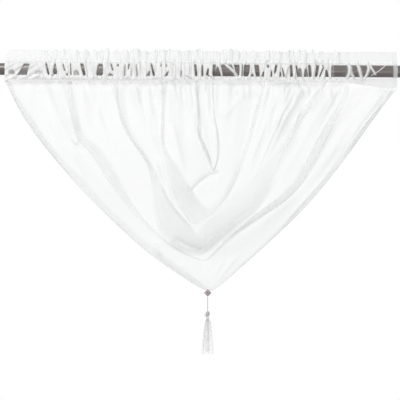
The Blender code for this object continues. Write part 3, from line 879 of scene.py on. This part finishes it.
def pocket_depth(z, low):
    """The cloth's depth in front of the pole at each height: round it, then straight to seam and stitch."""
    radius = POCKET_RADIUS
    depth = np.zeros_like(z)
    for end, sign in ((low, -1.0), (np.full_like(z, STITCH_Z), 1.0)):
        far = np.sqrt(end**2 + (LAYER_GAP / 2) ** 2)
        touch = np.arccos(radius / far) - np.arctan2(LAYER_GAP / 2, np.abs(end))
        touch_z = sign * radius * np.cos(touch)
        touch_y = radius * np.sin(touch)
        share = np.clip((z - touch_z) / (end - touch_z), 0.0, 1.0)
        straight = touch_y + (LAYER_GAP / 2 - touch_y) * share
        round_part = np.sqrt(np.maximum(radius**2 - z**2, 0.0))
        chosen = np.where((z - touch_z) * sign > 0, straight, round_part)
        depth = np.where(z * sign > 0, chosen, depth)
    return np.maximum(depth, LAYER_GAP / 2)


def frill_top(px):
    """The ragged top of the frill, in metres above the stitch line."""
    peaks = gather_field(px, np.full_like(px, 58.0)) / GATHER_STAND
    ragged = 0.35 * np.sin(px * 0.83 + 1.1 * np.sin(px * 0.19)) + 0.25 * np.sin(px * 1.9 + 0.7)
    middle = ease(px, 40.0, 60.0) * (1 - ease(px, 335.0, 350.0))
    return FRILL + middle * (0.0050 * (peaks - 0.55) + 0.0044 * ragged)


def header_grid():
    """The folded header, from the front seam over the frill and behind the pole to the back seam."""
    x = np.linspace(-HUNG_WIDTH / 2, HUNG_WIDTH / 2, HEADER_COLUMNS)
    low = SEAM_Z - seam_sag(x)
    px_top, _ = to_photo(x, np.full_like(x, STITCH_Z))
    top = frill_top(px_top)
    rows, layer_rows = [], []
    for share in np.linspace(0.0, 1.0, POCKET_ROWS):
        z = low + (STITCH_Z - low) * share
        px, py = to_photo(x, z)
        height, layers = bunched(px, py)
        blend = ease(np.full_like(x, share), 0.0, 0.22)
        pole_side = pocket_depth(z, low)
        flat_front = POCKET_RADIUS * np.sqrt(np.maximum(1 - np.abs(2 * share - 1) ** 5, 0.0))
        loose = 1 - window_field(px, py) - ease(px, *RIGHT_FLAT)
        loose = np.clip(loose, 0.0, 1.0)
        depth = pole_side + (np.maximum(flat_front, pole_side) - pole_side) * loose + height
        depth = depth * blend + (seam_depth(x) + (depth - LAYER_GAP / 2)) * (1 - blend)
        rows.append(np.column_stack([x, -depth, z]))
        layer_rows.append(layers)
    for share in np.linspace(0.0, 1.0, FRILL_ROWS + 1)[1:]:
        z = STITCH_Z + top * share
        px, py = to_photo(x, z)
        height, layers = bunched(px, py)
        flutter = 0.0030 * share * np.sin(px * 0.62 + 1.4 * np.sin(px * 0.13))
        middle = ease(px, 30.0, 60.0) * (1 - ease(px, 330.0, 360.0))
        depth = LAYER_GAP / 2 + 0.85 * height + flutter * middle - 0.007 * share**1.3
        freed = ease(np.full_like(x, share), -0.1, 0.25)
        depth = depth * freed + (-rows[POCKET_ROWS - 1][:, 1]) * (1 - freed)
        rows.append(np.column_stack([x, -depth, z]))
        layer_rows.append(layers)
    front_top = rows[-1]
    for number in range(BACK_ROWS + 1):
        share = 1 - number / BACK_ROWS
        z = STITCH_Z + top * share - 0.0004 * (number == 0)
        depth = front_top[:, 1] * share + LAYER_GAP * (0.5 + 0.4 * share)
        rows.append(np.column_stack([x, depth, z]))
        # Painted light: the frill's back counts fewer layers, which lifts its shade
        layer_rows.append(np.full_like(x, FRILL_BACK_PAINTED_LIGHT_LAYERS))
    px, _ = to_photo(x, np.zeros_like(x))
    puffed = 0.45 * gather_field(px, np.full_like(px, POCKET_MIDDLE))
    for angle in np.linspace(60, -60, 11):
        turn = math.radians(angle)
        z = np.full_like(x, POCKET_RADIUS * math.sin(turn))
        mirrored = 2 * PHOTO_CENTRE[0] - px
        height, layers = bunched(mirrored, np.full_like(px, POCKET_MIDDLE - 5.5 * math.sin(turn)))
        depth = POCKET_RADIUS * math.cos(turn) + 0.0006 + puffed + 0.6 * height
        rows.append(np.column_stack([x, depth, z]))
        # Painted light towards the pocket's back: fewer layers lift its shade
        edge = ease(abs(angle), 30, 50)
        layer_rows.append(layers * (1 - edge) + POCKET_BACK_PAINTED_LIGHT_LAYERS * edge)
    # Painted light along the back seam: fewer layers
    rows.append(np.column_stack([x, np.full_like(x, LAYER_GAP / 2), low]))
    layer_rows.append(np.full_like(x, POCKET_BACK_PAINTED_LIGHT_LAYERS))
    return np.stack(rows, axis=0), np.stack(layer_rows, axis=0)


def soften_middle(left, right, reach=5, passes=6):
    """Rounds each fold where its two sides meet at the middle of the swag."""
    for _ in range(passes):
        line = np.concatenate([left[:, -reach - 1 :], right[:, -2 : -reach - 2 : -1]], axis=1)
        moved = line.copy()
        moved[:, 1:-1] = 0.25 * line[:, :-2] + 0.5 * line[:, 1:-1] + 0.25 * line[:, 2:]
        left[:, -reach:] = moved[:, 1 : reach + 1]
        right[:, -reach:-1] = moved[:, -2 : reach : -1]
        right[:, -1] = left[:, -1]


def new_object(name, data):
    made = bpy.data.objects.new(name, data)
    bpy.context.scene.collection.objects.link(made)
    return made


def new_mesh(name, points, faces):
    mesh = bpy.data.meshes.new(name)
    mesh.from_pydata(points, [], faces)
    mesh.update()
    return mesh


def add_hem(grid, layers):
    """Turns the free edge under once: two more rows behind the last one."""
    edge, before = grid[-1], grid[-4]
    inward = before - edge
    inward[:, 1] = 0.0
    inward /= np.maximum(np.linalg.norm(inward, axis=1), 1e-6)[:, None]
    under = edge + 0.15 * HEM_WIDTH * inward + np.array([0.0, 0.0005, 0.0])
    back = edge + HEM_WIDTH * inward + np.array([0.0, 0.0007, 0.0])
    zero = np.zeros_like(layers[:1])
    grid = np.concatenate([grid, under[None], back[None]], axis=0)
    return grid, np.concatenate([layers, zero, zero], axis=0)


def link_sheet(name, points, faces, layers):
    mesh = new_mesh(name, points, faces)
    # Layers at each point: real ones, together with painted shade and painted light
    packed = mesh.attributes.new("layers_with_painted_light_and_shade", "FLOAT", "POINT")
    packed.data.foreach_set("value", np.asarray(layers, dtype=np.float32))
    bm = bmesh.new()
    bm.from_mesh(mesh)
    bmesh.ops.delete(bm, geom=[v for v in bm.verts if not v.link_faces], context="VERTS")
    bm.to_mesh(mesh)
    bm.free()
    mesh.shade_smooth()
    return new_object(name, mesh)


def make_panel():
    """The hanging panel as one sheet, its two sides joined at the middle of the swag."""
    sheet = np.linspace(0.0, sheet_knots()[-1], PANEL_ROWS)
    (left, left_layers), (right, right_layers) = panel_grid("left", sheet), panel_grid("right", sheet)
    middle = (left[:, -1] + right[:, -1]) / 2
    left[:, -1] = middle
    right[:, -1] = middle
    shared = (left[0] + right[0]) / 2
    left[0] = shared
    right[0] = shared
    soften_middle(left, right)
    hem_lines = [HEM_STITCH * side[-2] + (1 - HEM_STITCH) * side[-1] for side in (left, right)]
    left, left_layers = add_hem(left, left_layers)
    right, right_layers = add_hem(right, right_layers)
    rows, steps = left.shape[:2]
    points, layers, number = [], [], {}
    for side, grid, grid_layers in (("L", left, left_layers), ("R", right, right_layers)):
        for row in range(rows):
            for step in range(steps):
                if side == "R" and (row == 0 or step == steps - 1):
                    number[side, row, step] = number["L", row, step]
                else:
                    number[side, row, step] = len(points)
                    points.append(tuple(grid[row, step]))
                    layers.append(grid_layers[row, step])
    faces = []
    for side in "LR":
        for row in range(rows - 1):
            for step in range(steps - 1):
                corners = [
                    number[side, row, step],
                    number[side, row, step + 1],
                    number[side, row + 1, step + 1],
                    number[side, row + 1, step],
                ]
                if row == 0 and step == steps - 2:
                    corners = [corners[0], corners[2], corners[3]]
                faces.append(corners[::-1] if side == "L" else corners)
    return link_sheet("voile_swag", points, faces, layers), hem_lines


def make_header():
    grid, layers = header_grid()
    rows, columns = grid.shape[:2]
    faces = [
        (row * columns + c, row * columns + c + 1, (row + 1) * columns + c + 1, (row + 1) * columns + c)
        for row in range(rows - 1)
        for c in range(columns - 1)
    ]
    header = link_sheet("voile_header", [tuple(p) for p in grid.reshape(-1, 3)], faces, layers.ravel())
    return header, [grid[3], grid[POCKET_ROWS - 1]]


class Nodes:
    """A small helper that adds and links shader nodes."""

    def __init__(self, name):
        self.material = bpy.data.materials.new(name)
        self.material.use_nodes = True
        self.tree = self.material.node_tree
        self.tree.nodes.clear()

    def add(self, kind, values=None, **settings):
        node = self.tree.nodes.new(kind)
        for key, value in settings.items():
            setattr(node, key, value)
        for key, value in (values or {}).items():
            if isinstance(value, bpy.types.NodeSocket):
                self.tree.links.new(value, node.inputs[key])
            else:
                node.inputs[key].default_value = value
        return node

    def out(self, kind, values=None):
        return self.add(kind, values).outputs[0]

    def math(self, operation, a, b=0.0):
        return self.add("ShaderNodeMath", {0: a, 1: b}, operation=operation).outputs[0]

    def blend(self, share, first, second):
        colours = {0: share, 6: first, 7: second}
        return self.add("ShaderNodeMix", colours, data_type="RGBA").outputs[2]

    def noise(self, place, scale, detail):
        values = {"Vector": place, "Scale": scale, "Detail": detail}
        return self.add("ShaderNodeTexNoise", values).outputs["Fac"]

    def surface(self, shader):
        self.add("ShaderNodeOutputMaterial", {"Surface": shader})
        return self.material


def voile_material():
    """Sheer cloth: each layer lets part of the view through. Where many layers are packed together, the
    colour is painted whiter: painted light that stands for the light passing to and fro between them."""
    n = Nodes("voile")
    place = n.add("ShaderNodeTexCoord").outputs["Object"]
    # Layers at each point, with painted shade and painted light among them
    packed = n.add("ShaderNodeAttribute", attribute_name="layers_with_painted_light_and_shade").outputs["Fac"]
    slub = n.noise(place, 45.0, 3.0)
    layers = n.math("ADD", n.math("MULTIPLY", slub, UNEVEN), THINNEST)
    layers = n.math("MAXIMUM", n.math("ADD", layers, packed), LEAST_LAYERS)
    clear = n.math("POWER", CLEAR_SHARE, layers)
    # Painted light: the more layers are packed, the whiter the colour is painted
    extra = n.math("MAXIMUM", packed, 0.0)
    many = n.math("DIVIDE", extra, n.math("ADD", extra, PAINTED_WHITENING_LAYERS))
    colour = n.blend(many, CLOTH_COLOUR, PACKED_PAINTED_LIGHT_COLOUR)
    look = {"Base Color": colour, "Roughness": 0.75, "Sheen Weight": 0.15, "Sheen Roughness": 0.4}
    front = n.out("ShaderNodeBsdfPrincipled", look)
    through = n.out("ShaderNodeBsdfTranslucent", {"Color": colour})
    cloth = n.out("ShaderNodeMixShader", {0: LIT_FROM_BEHIND, 1: front, 2: through})
    open_weave = n.out("ShaderNodeBsdfTransparent")
    return n.surface(n.out("ShaderNodeMixShader", {0: clear, 1: cloth, 2: open_weave}))


def wood_material():
    """Dark lacquered wood with its grain along the pole."""
    n = Nodes("pole_wood")
    place = n.add("ShaderNodeTexCoord").outputs["Object"]
    stretched = n.out("ShaderNodeMapping", {"Vector": place, "Scale": (6.0, 90.0, 90.0)})
    colour = n.blend(n.noise(stretched, 3.0, 6.0), WOOD_DARK, WOOD_LIGHT)
    look = {"Base Color": colour, "Roughness": 0.34, "Coat Weight": 0.6, "Coat Roughness": 0.3}
    return n.surface(n.out("ShaderNodeBsdfPrincipled", look))


def yarn_material(name):
    """Soft spun yarn: a little uneven in tone. Some light comes through it, more so where it is loose."""
    colour, roughness, through, scale, loose = YARNS[name]
    n = Nodes(name)
    place = n.add("ShaderNodeTexCoord").outputs["Object"]
    darker = tuple(0.90 * part for part in colour)
    tone = n.blend(n.noise(place, scale, 2.0), (*darker, 1.0), (*colour, 1.0))
    look = {"Base Color": tone, "Roughness": roughness, "Sheen Weight": 0.3, "Sheen Roughness": 0.4}
    matt = n.out("ShaderNodeBsdfPrincipled", look)
    behind = n.out("ShaderNodeBsdfTranslucent", {"Color": tone})
    shader = n.out("ShaderNodeMixShader", {0: through, 1: matt, 2: behind})
    if loose:
        gaps = n.out("ShaderNodeBsdfTransparent")
        shader = n.out("ShaderNodeMixShader", {0: loose, 1: shader, 2: gaps})
    return n.surface(shader)


def turned(profile, sides, turns=0.0, ridge=0.0):
    """Points and faces of a body turned round Z, with yarn wound round it where it has turns."""
    points, faces = [], []
    top, bottom = profile[0][1], profile[-1][1]
    for radius, height in profile:
        for number in range(sides):
            angle = 2 * math.pi * number / sides
            phase = 2 * math.pi * turns * (top - height) / (top - bottom) - angle
            swell = ridge * abs(math.cos(0.5 * phase)) * min(1.0, radius / (4 * ridge)) if ridge else 0.0
            reach = max(radius + swell - ridge, 0.0)
            points.append((reach * math.cos(angle), reach * math.sin(angle), height))
    rows = len(profile)
    for row in range(rows - 1):
        for number in range(sides):
            after = (number + 1) % sides
            low, high = row * sides, (row + 1) * sides
            faces.append((low + number, high + number, high + after, low + after))
    faces.append(tuple(range(sides)))
    faces.append(tuple(range((rows - 1) * sides, rows * sides))[::-1])
    return points, faces


def tube(route, radii, sides, points, faces):
    """Adds a thin tube with closed ends along a route to the points and faces."""
    route = np.asarray(route, dtype=float)
    ahead = np.gradient(route, axis=0)
    ahead /= np.linalg.norm(ahead, axis=1)[:, None]
    helper = np.array([0.0, 1.0, 0.0]) if abs(ahead[0, 1]) < 0.8 else np.array([1.0, 0.0, 0.0])
    first = len(points)
    radii = np.broadcast_to(radii, len(route))
    for spot, way, radius in zip(route, ahead, radii):
        side = np.cross(way, helper)
        side /= np.linalg.norm(side)
        up = np.cross(side, way)
        helper = up
        for number in range(sides):
            angle = 2 * math.pi * number / sides
            points.append(tuple(spot + radius * (math.cos(angle) * side + math.sin(angle) * up)))
    for row in range(len(route) - 1):
        for number in range(sides):
            after = (number + 1) % sides
            start = first + row * sides
            faces.append((start + number, start + after, start + sides + after, start + sides + number))
    last = first + (len(route) - 1) * sides
    faces.append(tuple(range(first, first + sides))[::-1])
    faces.append(tuple(range(last, last + sides)))


def add_piece(name, points, faces, material, slot, *nodes):
    """Adds a smooth piece that stands in the place of the named solids."""
    mesh = new_mesh(name, points, faces)
    mesh.shade_smooth()
    piece = new_object(name, mesh)
    piece.data.materials.append(material)
    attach(piece, "root")
    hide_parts(*nodes)
    return piece


def make_pole(material):
    """The round pole, turned, with softly rounded plain ends."""
    half = POLE_LENGTH / 2
    end = [
        (POLE_RADIUS - POLE_EDGE * (1 - math.sin(a)), half - POLE_EDGE * (1 - math.cos(a)))
        for a in np.linspace(0.0, math.pi / 2, 6)
    ]
    profile = end + [(POLE_RADIUS, z) for z in np.linspace(0.45, -0.45, 7)]
    profile += [(r, -z) for r, z in end[::-1]]
    points, faces = turned(profile, POLE_SIDES)
    points = [(z, -y, x) for x, y, z in points]
    faces = [face[::-1] for face in faces]
    add_piece("turned_pole", points, faces, material, "pole", "curtain_rod")


def make_patch(material):
    """A small square of cloth stood on its corner, its four corners folded in and caught at the middle."""
    steps = 36
    points, faces = [], []
    for sign, depth in ((-1.0, 0.72), (1.0, 0.28)):
        first = len(points)
        for row in range(steps + 1):
            for column in range(steps + 1):
                u, v = 2 * column / steps - 1, 2 * row / steps - 1
                puff = max((1 - abs(u) ** 3) * (1 - abs(v) ** 3), 0.0) ** 0.5
                crease = math.exp(-(((abs(u) - abs(v)) / 0.10) ** 2))
                knot = math.exp(-(u * u + v * v) / 0.035)
                height = PATCH_DEPTH * depth * puff * (1 - 0.34 * crease) * (1 - 0.55 * knot)
                pinch = 1 - 0.06 * (1 - max(abs(u), abs(v))) - 0.05 * abs(u * v)
                x = PATCH_HALF * (u - v) / 2 * pinch
                z = PATCH_HALF * (u + v) / 2 * pinch
                points.append((POINT_X + x, POINT_Y + 0.0010 + sign * height, PATCH_Z + z))
        for row in range(steps):
            for column in range(steps):
                a = first + row * (steps + 1) + column
                face = (a, a + 1, a + steps + 2, a + steps + 1)
                faces.append(face if sign < 0 else face[::-1])
    patch = add_piece("folded_patch", points, faces, material, "patch", "point_patch")
    bm = bmesh.new()
    bm.from_mesh(patch.data)
    bmesh.ops.remove_doubles(bm, verts=bm.verts, dist=0.00001)
    bmesh.ops.recalc_face_normals(bm, faces=bm.faces)
    bm.to_mesh(patch.data)
    bm.free()


def make_cord(material):
    """The thread that holds the tassel: two plies twisted together."""
    points, faces = [], []
    count = CORD_TURNS * 14
    for half_turn in (0.0, math.pi):
        route = []
        for number in range(count + 1):
            share = number / count
            angle = half_turn + 2 * math.pi * CORD_TURNS * share
            reach = CORD_DIAMETER / 4
            route.append(
                (
                    POINT_X + reach * math.cos(angle),
                    POINT_Y + reach * math.sin(angle),
                    CORD_TOP - CORD_LENGTH * share,
                )
            )
        tube(route, CORD_DIAMETER / 4 + 0.00004, 8, points, faces)
    cord = add_piece("twisted_thread", points, faces, material, "tassel", "tassel_cord")


def moved_down(points, height):
    """The same points round the tassel's line, at a height."""
    return [(x + POINT_X, y + POINT_Y, z + height) for x, y, z in points]


def make_bead(material):
    """The oval bead of wound yarn, tilted a little, with the yarn's loose end curling out below it."""
    half = BEAD_HEIGHT / 2
    profile = [
        (BEAD_RADIUS * math.sin(a) ** 0.85 + 0.0002, half * math.cos(a))
        for a in np.linspace(0.0, math.pi, 121)
    ]
    points, faces = turned(profile, YARN_SIDES, BEAD_TURNS, BEAD_RIDGE)
    tilt = Matrix.Rotation(BEAD_TILT, 3, "Y")
    middle_z = CORD_TOP - CORD_LENGTH - 0.0003 - half
    points = [tuple(tilt @ Vector(point)) for point in points]
    curl = [
        (-0.0020, -0.0030, -0.0035),
        (-0.0042, -0.0036, -0.0048),
        (-0.0060, -0.0033, -0.0048),
        (-0.0068, -0.0026, -0.0034),
        (-0.0058, -0.0022, -0.0024),
        (-0.0047, -0.0024, -0.0030),
    ]
    smooth = []
    known = np.array([curl[0], *curl, curl[-1]])
    for k in range(len(known) - 3):
        smooth += [catmull(*known[k : k + 4], t) for t in np.linspace(0.0, 1.0, 8, endpoint=False)]
    tube(smooth, 0.00050, 8, points, faces)
    add_piece("wound_bead", moved_down(points, middle_z), faces, material, "bead", "tassel_bead")


def make_binding(material):
    """The neck of the tassel: yarn wound round the tops of the strands."""
    profile = [(0.0021, 0.0)]
    profile += [
        (BINDING_RADIUS - 0.0004 * abs(2 * s - 1) ** 3, -BINDING_LENGTH * s)
        for s in np.linspace(0.02, 0.98, 72)
    ]
    profile.append((0.0021, -BINDING_LENGTH))
    points, faces = turned(profile, YARN_SIDES, BINDING_TURNS, BINDING_RIDGE)
    points = moved_down(points, BINDING_TOP)
    add_piece("wound_binding", points, faces, material, "tassel", "tassel_binding")


def make_skirt(material):
    """The loose strands of the tassel, each a thin tapering thread."""
    rng = random.Random(GATHER_SEED + 3)
    points, faces = [], []
    for number in range(SKIRT_STRANDS):
        lock = number % SKIRT_LOCKS
        angle = 2 * math.pi * (lock / SKIRT_LOCKS + rng.gauss(0.0, 0.022))
        share = (0.30, 0.95, 0.62)[lock % 3] + rng.gauss(0.0, 0.10)
        share = min(max(share, 0.02), 1.0)
        length = SKIRT_LENGTH * min(0.93 + 0.03 * math.sin(2.1 * lock) + rng.gauss(0.0, 0.025), 0.995)
        sway = rng.uniform(0.0, 2 * math.pi)
        wander = rng.uniform(0.0002, 0.0009)
        twist = rng.uniform(-0.25, 0.25)
        end_share = min(1.0, share * rng.uniform(0.85, 1.05))
        route = []
        for level in np.linspace(0.0, 1.0, STRAND_LEVELS):
            shoulder = 0.45 + 0.55 * ease(level, 0.0, 0.07)
            reach = share * SKIRT_TOP_RADIUS * shoulder * (1 - level)
            reach += end_share * SKIRT_END_RADIUS * level**0.85 * (0.45 + 0.55 * ease(level, 0.0, 0.3))
            reach = min(reach, SKIRT_TOP_RADIUS + (SKIRT_END_RADIUS - SKIRT_TOP_RADIUS) * level**0.8)
            bend = angle + twist * level
            ripple = wander * level * math.sin(7.0 * level + sway)
            route.append(
                (
                    POINT_X + reach * math.cos(bend) + ripple,
                    POINT_Y + 0.85 * reach * math.sin(bend),
                    SKIRT_TOP + 0.0004 - length * level,
                )
            )
        radii = STRAND_RADIUS * (1.0 - 0.45 * np.linspace(0.0, 1.0, STRAND_LEVELS) ** 2)
        tube(route, radii, 5, points, faces)
    add_piece("tassel_strands", points, faces, material, "tassel", "tassel_skirt")


def make_floor():
    """A plain pale floor well below the swag."""
    spots = [(-FLOOR_REACH, -FLOOR_REACH), (FLOOR_REACH, -FLOOR_REACH)]
    spots += [(FLOOR_REACH, FLOOR_BACK), (-FLOOR_REACH, FLOOR_BACK)]
    corners = [(x, y, FLOOR_Z) for x, y in spots]
    floor = new_object("floor", new_mesh("floor", corners, [(0, 1, 2, 3)]))
    n = Nodes("pale_floor")
    shade = (FLOOR_SHADE, FLOOR_SHADE, FLOOR_SHADE, 1.0)
    matt = n.out("ShaderNodeBsdfDiffuse", {"Color": shade})
    white = n.out("ShaderNodeEmission", {"Color": (1.0, 1.0, 1.0, 1.0), "Strength": 1.0})
    path = n.add("ShaderNodeLightPath")
    seen = n.math("MULTIPLY", path.outputs["Is Camera Ray"], FLOOR_WHITE)
    floor.data.materials.append(n.surface(n.out("ShaderNodeMixShader", {0: seen, 1: matt, 2: white})))


def stitch_run(line, points, faces):
    """Small stitches along a line of cloth, each a short thread that dips in at both ends."""
    walked = np.concatenate([[0.0], np.cumsum(np.linalg.norm(np.diff(line, axis=0), axis=1))])
    count = int(walked[-1] / STITCH_PITCH)
    shares = np.array([-0.5, -0.36, 0.0, 0.36, 0.5]) * STITCH_LENGTH
    lift = np.array([-0.0001, 0.0003, 0.00042, 0.0003, -0.0001])
    for number in range(count):
        spots = (number + 0.5) * STITCH_PITCH + shares
        route = np.column_stack([np.interp(spots, walked, line[:, axis]) for axis in range(3)])
        route[:, 1] -= lift
        tube(route, STITCH_RADIUS, 5, points, faces)


def make_stitches(material, lines):
    """The sewn lines: round the hem, along the pocket's seam and under the frill."""
    points, faces = [], []
    for line in lines:
        stitch_run(line, points, faces)
    add_piece("stitches", points, faces, material, "voile", "voile_panel")


def make_camera():
    data = bpy.data.cameras.new("camera")
    camera = new_object("camera", data)
    data.sensor_width = 36.0
    data.lens = data.sensor_width * CAMERA_DISTANCE / (PHOTO_SIDE * PIXEL)
    middle = PHOTO_SIDE / 2
    x = (middle - PHOTO_CENTRE[0]) * PIXEL
    z = (PHOTO_CENTRE[1] - middle) * PIXEL
    camera.location = (x, -CAMERA_DISTANCE, z)
    camera.rotation_euler = (math.radians(90), -PHOTO_ROLL, 0.0)
    bpy.context.scene.camera = camera


def area_lamp(name, place, aim, size, power):
    data = bpy.data.lights.new(name, "AREA")
    data.energy = power
    data.size = size
    lamp = new_object(name, data)
    lamp.location = place
    lamp.rotation_euler = (Vector(aim) - Vector(place)).to_track_quat("-Z", "Y").to_euler()


def make_world():
    """Even light from all round, and plain white wherever the background itself is seen."""
    world = bpy.data.worlds.new("studio")
    bpy.context.scene.world = world
    world.use_nodes = True
    tree = world.node_tree
    background = tree.nodes["Background"]
    background.inputs["Color"].default_value = (1.0, 1.0, 1.0, 1.0)
    path = tree.nodes.new("ShaderNodeLightPath")
    seen = path.outputs["Is Camera Ray"]
    for way in ("Is Transmission Ray", "Is Glossy Ray"):
        either = tree.nodes.new("ShaderNodeMath")
        either.operation = "MAXIMUM"
        tree.links.new(seen, either.inputs[0])
        tree.links.new(path.outputs[way], either.inputs[1])
        seen = either.outputs[0]
    strength = tree.nodes.new("ShaderNodeMix")
    strength.inputs[2].default_value = ROOM_LIGHT
    strength.inputs[3].default_value = 1.0
    tree.links.new(seen, strength.inputs[0])
    tree.links.new(strength.outputs[0], background.inputs["Strength"])


def main():
    scene = bpy.context.scene
    scene.view_settings.view_transform = "Standard"
    scene.cycles.transparent_max_bounces = 32
    make_camera()
    make_world()
    for lamp in LAMPS:
        area_lamp(*lamp)
    make_floor()

    voile = voile_material()
    panel, hem_lines = make_panel()
    header, seam_lines = make_header()
    for cloth in (panel, header):
        cloth.data.materials.append(voile)
        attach(cloth, "root")
        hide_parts("voile_panel")

    make_pole(wood_material())
    make_patch(yarn_material("patch"))
    make_cord(yarn_material("cord"))
    make_bead(yarn_material("bead"))
    make_binding(yarn_material("white_yarn"))
    make_stitches(yarn_material("sewing_thread"), [*hem_lines, *seam_lines])
    make_skirt(yarn_material("silky_strands"))


main()
